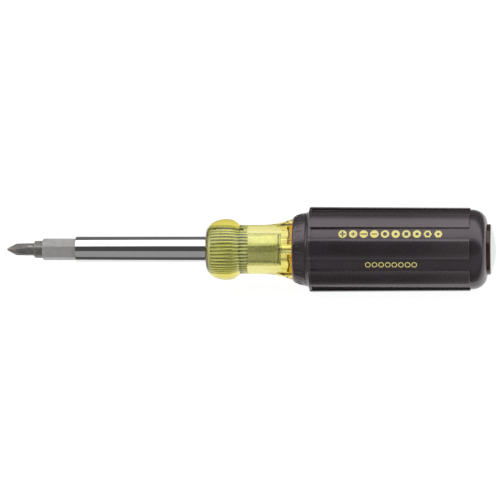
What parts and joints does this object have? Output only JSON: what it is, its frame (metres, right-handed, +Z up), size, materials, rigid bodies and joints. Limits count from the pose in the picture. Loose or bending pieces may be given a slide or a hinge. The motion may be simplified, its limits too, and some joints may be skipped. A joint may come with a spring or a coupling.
{
  "type": "multi-bit screwdriver",
  "caption": "Screwdriver with a clear handle under a ribbed black cushion grip and a reversible chromed shaft that holds hexagonal bit holders and double-ended bits.",
  "frame": {"origin": "on the surface that the grip lies on, under the middle of the tool's length", "axes": "+X along the tool from tip to butt, +Y across it, +Z up from the surface it lies on"},
  "size_m": [0.1968, 0.0338, 0.0338],
  "materials": {
    "clear_acetate": "clear yellow-green cellulose acetate, vapour polished",
    "cushion": "soft moulded vinyl, satin",
    "chrome": "polished chrome plate",
    "satin_steel": "satin nickel on steel",
    "dark_bit_steel": "blasted dark tool steel",
    "spring_steel": "bright spring steel"
  },
  "bodies": {
    "handle": {"handle_core": "clear_acetate", "cushion_grip": "cushion", "socket_insert": "satin_steel", "shaft_retaining_ring": "spring_steel"},
    "shaft": {"shaft_tube": "chrome"},
    "front_holder": {"front_bit_holder": "satin_steel", "front_bit_holder_ball": "spring_steel", "front_bit_holder_spring": "spring_steel"},
    "rear_holder": {"rear_bit_holder": "satin_steel", "rear_bit_holder_ball": "spring_steel", "rear_bit_holder_spring": "spring_steel"},
    "front_outer_bit": {"cross_bit": "dark_bit_steel", "cross_bit_ball": "spring_steel", "cross_bit_spring": "spring_steel"},
    "front_inner_bit": {"slotted_bit": "dark_bit_steel", "slotted_bit_ball": "spring_steel", "slotted_bit_spring": "spring_steel"},
    "rear_outer_bit": {"star_bit": "dark_bit_steel", "star_bit_ball": "spring_steel", "star_bit_spring": "spring_steel"},
    "rear_inner_bit": {"square_bit": "dark_bit_steel", "square_bit_ball": "spring_steel", "square_bit_spring": "spring_steel"}
  },
  "joints": [
    {"name": "shaft_slide", "type": "slide", "parent": "handle", "child": "shaft", "axis": [-1, 0, 0], "range_m": [0, 0.17]},
    {"name": "front_holder_slide", "type": "slide", "parent": "shaft", "child": "front_holder", "axis": [-1, 0, 0], "range_m": [0, 0.048]},
    {"name": "front_outer_bit_slide", "type": "slide", "parent": "front_holder", "child": "front_outer_bit", "axis": [-1, 0, 0], "range_m": [0, 0.0215]},
    {"name": "front_inner_bit_slide", "type": "slide", "parent": "front_holder", "child": "front_inner_bit", "axis": [1, 0, 0], "range_m": [0, 0.0215]},
    {"name": "rear_holder_slide", "type": "slide", "parent": "shaft", "child": "rear_holder", "axis": [1, 0, 0], "range_m": [0, 0.048]},
    {"name": "rear_outer_bit_slide", "type": "slide", "parent": "rear_holder", "child": "rear_outer_bit", "axis": [1, 0, 0], "range_m": [0, 0.0215]},
    {"name": "rear_inner_bit_slide", "type": "slide", "parent": "rear_holder", "child": "rear_inner_bit", "axis": [-1, 0, 0], "range_m": [0, 0.0215]}
  ],
  "couplings": [
    {"joint": "rear_holder_slide", "follows": "shaft_slide", "ratio": 0.281},
    {"joint": "rear_outer_bit_slide", "follows": "shaft_slide", "ratio": 0.1255},
    {"joint": "rear_inner_bit_slide", "follows": "shaft_slide", "ratio": 0.1255}
  ]
}
